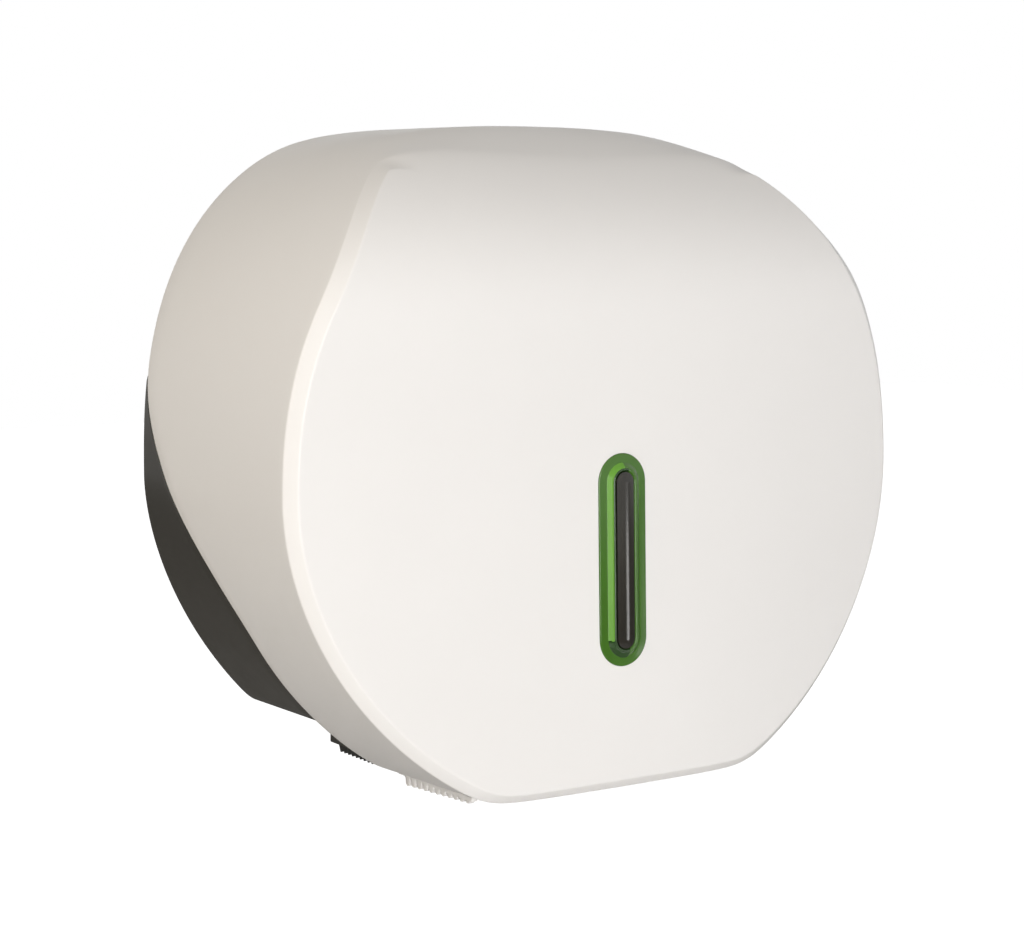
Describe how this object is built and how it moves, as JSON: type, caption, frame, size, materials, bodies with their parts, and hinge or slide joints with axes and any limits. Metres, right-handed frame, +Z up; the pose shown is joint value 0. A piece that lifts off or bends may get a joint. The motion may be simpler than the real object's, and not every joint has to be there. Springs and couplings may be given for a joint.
{
  "type": "jumbo toilet roll dispenser",
  "caption": "Wall-mounted jumbo toilet roll dispenser with a bulged hinged cover, a slot window, a roll hub, tear combs and a key lock.",
  "frame": {"origin": "centre of the wall face at the back of the rear housing, on the roll hub's axis", "axes": "+X to the viewer's right, +Y into the wall, +Z up; the front faces -Y"},
  "size_m": [0.3288, 0.1392, 0.2916],
  "materials": {
    "cover_white": "satin",
    "housing_grey": "fine satin",
    "comb_black": "satin",
    "bezel_green": "clear tinted",
    "lens_smoke": "clear tinted",
    "hub_grey": "satin",
    "steel": "zinc plated",
    "lock_chrome": "polished"
  },
  "bodies": {
    "base": {"rear_housing": "housing_grey", "axle_post": "housing_grey", "axle_foot_screws": "steel", "thrust_washer_rear": "comb_black", "thrust_washer_front": "comb_black", "axle_cap": "housing_grey", "axle_cap_screw": "steel", "tear_comb_rear_left": "comb_black", "tear_comb_rear_right": "comb_black", "hinge_pin_left": "steel", "hinge_pin_right": "steel", "lock_striker": "steel", "striker_screws": "steel"},
    "cover": {"front_cover": "cover_white", "window_bezel": "bezel_green", "window_lens": "lens_smoke", "tear_comb_front_left": "cover_white", "tear_comb_front_right": "cover_white", "lock_sleeve": "lock_chrome", "lock_nut": "steel"},
    "hub": {"core_hub": "hub_grey"},
    "lock": {"lock_barrel": "lock_chrome", "lock_cam": "steel", "cam_screw": "steel"}
  },
  "joints": [
    {"name": "cover_hinge", "type": "hinge", "parent": "base", "child": "cover", "pos_m": [0, -0.063, -0.123], "axis": [1, 0, 0], "range_deg": [0, 90]},
    {"name": "hub_spin", "type": "hinge", "parent": "base", "child": "hub", "pos_m": [0, -0.0618, 0], "axis": [0, 1, 0], "continuous": true},
    {"name": "lock_turn", "type": "hinge", "parent": "cover", "child": "lock", "pos_m": [0, -0.03, 0.14], "axis": [0, 0, -1], "range_deg": [0, 90]}
  ]
}
